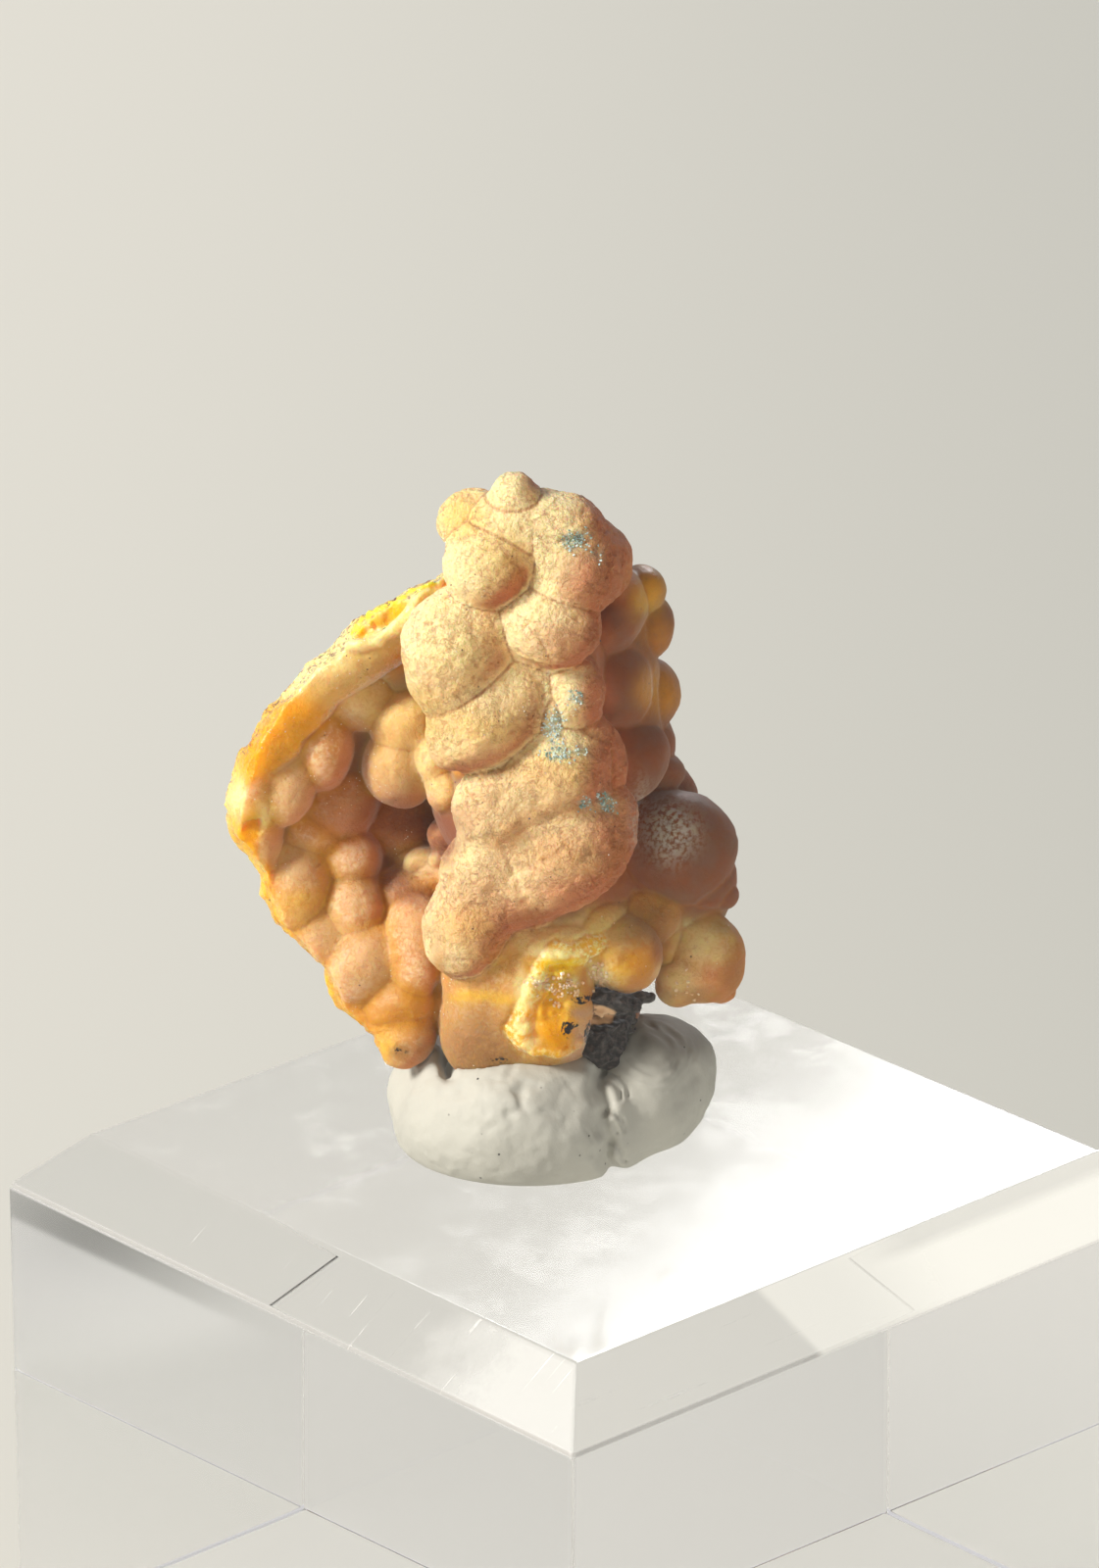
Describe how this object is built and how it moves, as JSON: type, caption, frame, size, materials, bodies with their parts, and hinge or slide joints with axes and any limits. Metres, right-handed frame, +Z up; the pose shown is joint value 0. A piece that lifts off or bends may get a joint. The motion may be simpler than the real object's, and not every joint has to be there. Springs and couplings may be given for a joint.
{
  "type": "mimetite specimen on a clear block",
  "caption": "Hollow botryoidal mimetite crust held by a lump of putty on a bevelled clear acrylic display block.",
  "frame": {"origin": "centre of the display block's underside, on the surface it stands on", "axes": "+Z up the specimen; -Y towards the viewer of the picture, where the column of lumps stands in front and the cup opens; +X to the viewer's right"},
  "size_m": [0.0538, 0.0538, 0.0582],
  "materials": {
    "mimetite": "matte, finely pitted, waxy and see-through at broken edges",
    "black_oxide": "matte, flaky",
    "putty": "matte, hand pressed",
    "clear_acrylic": "polished, clear"
  },
  "bodies": {
    "root": {"display_block": "clear_acrylic", "putty": "putty", "mimetite_crust": "mimetite", "oxide_matrix": "black_oxide"}
  },
  "joints": []
}
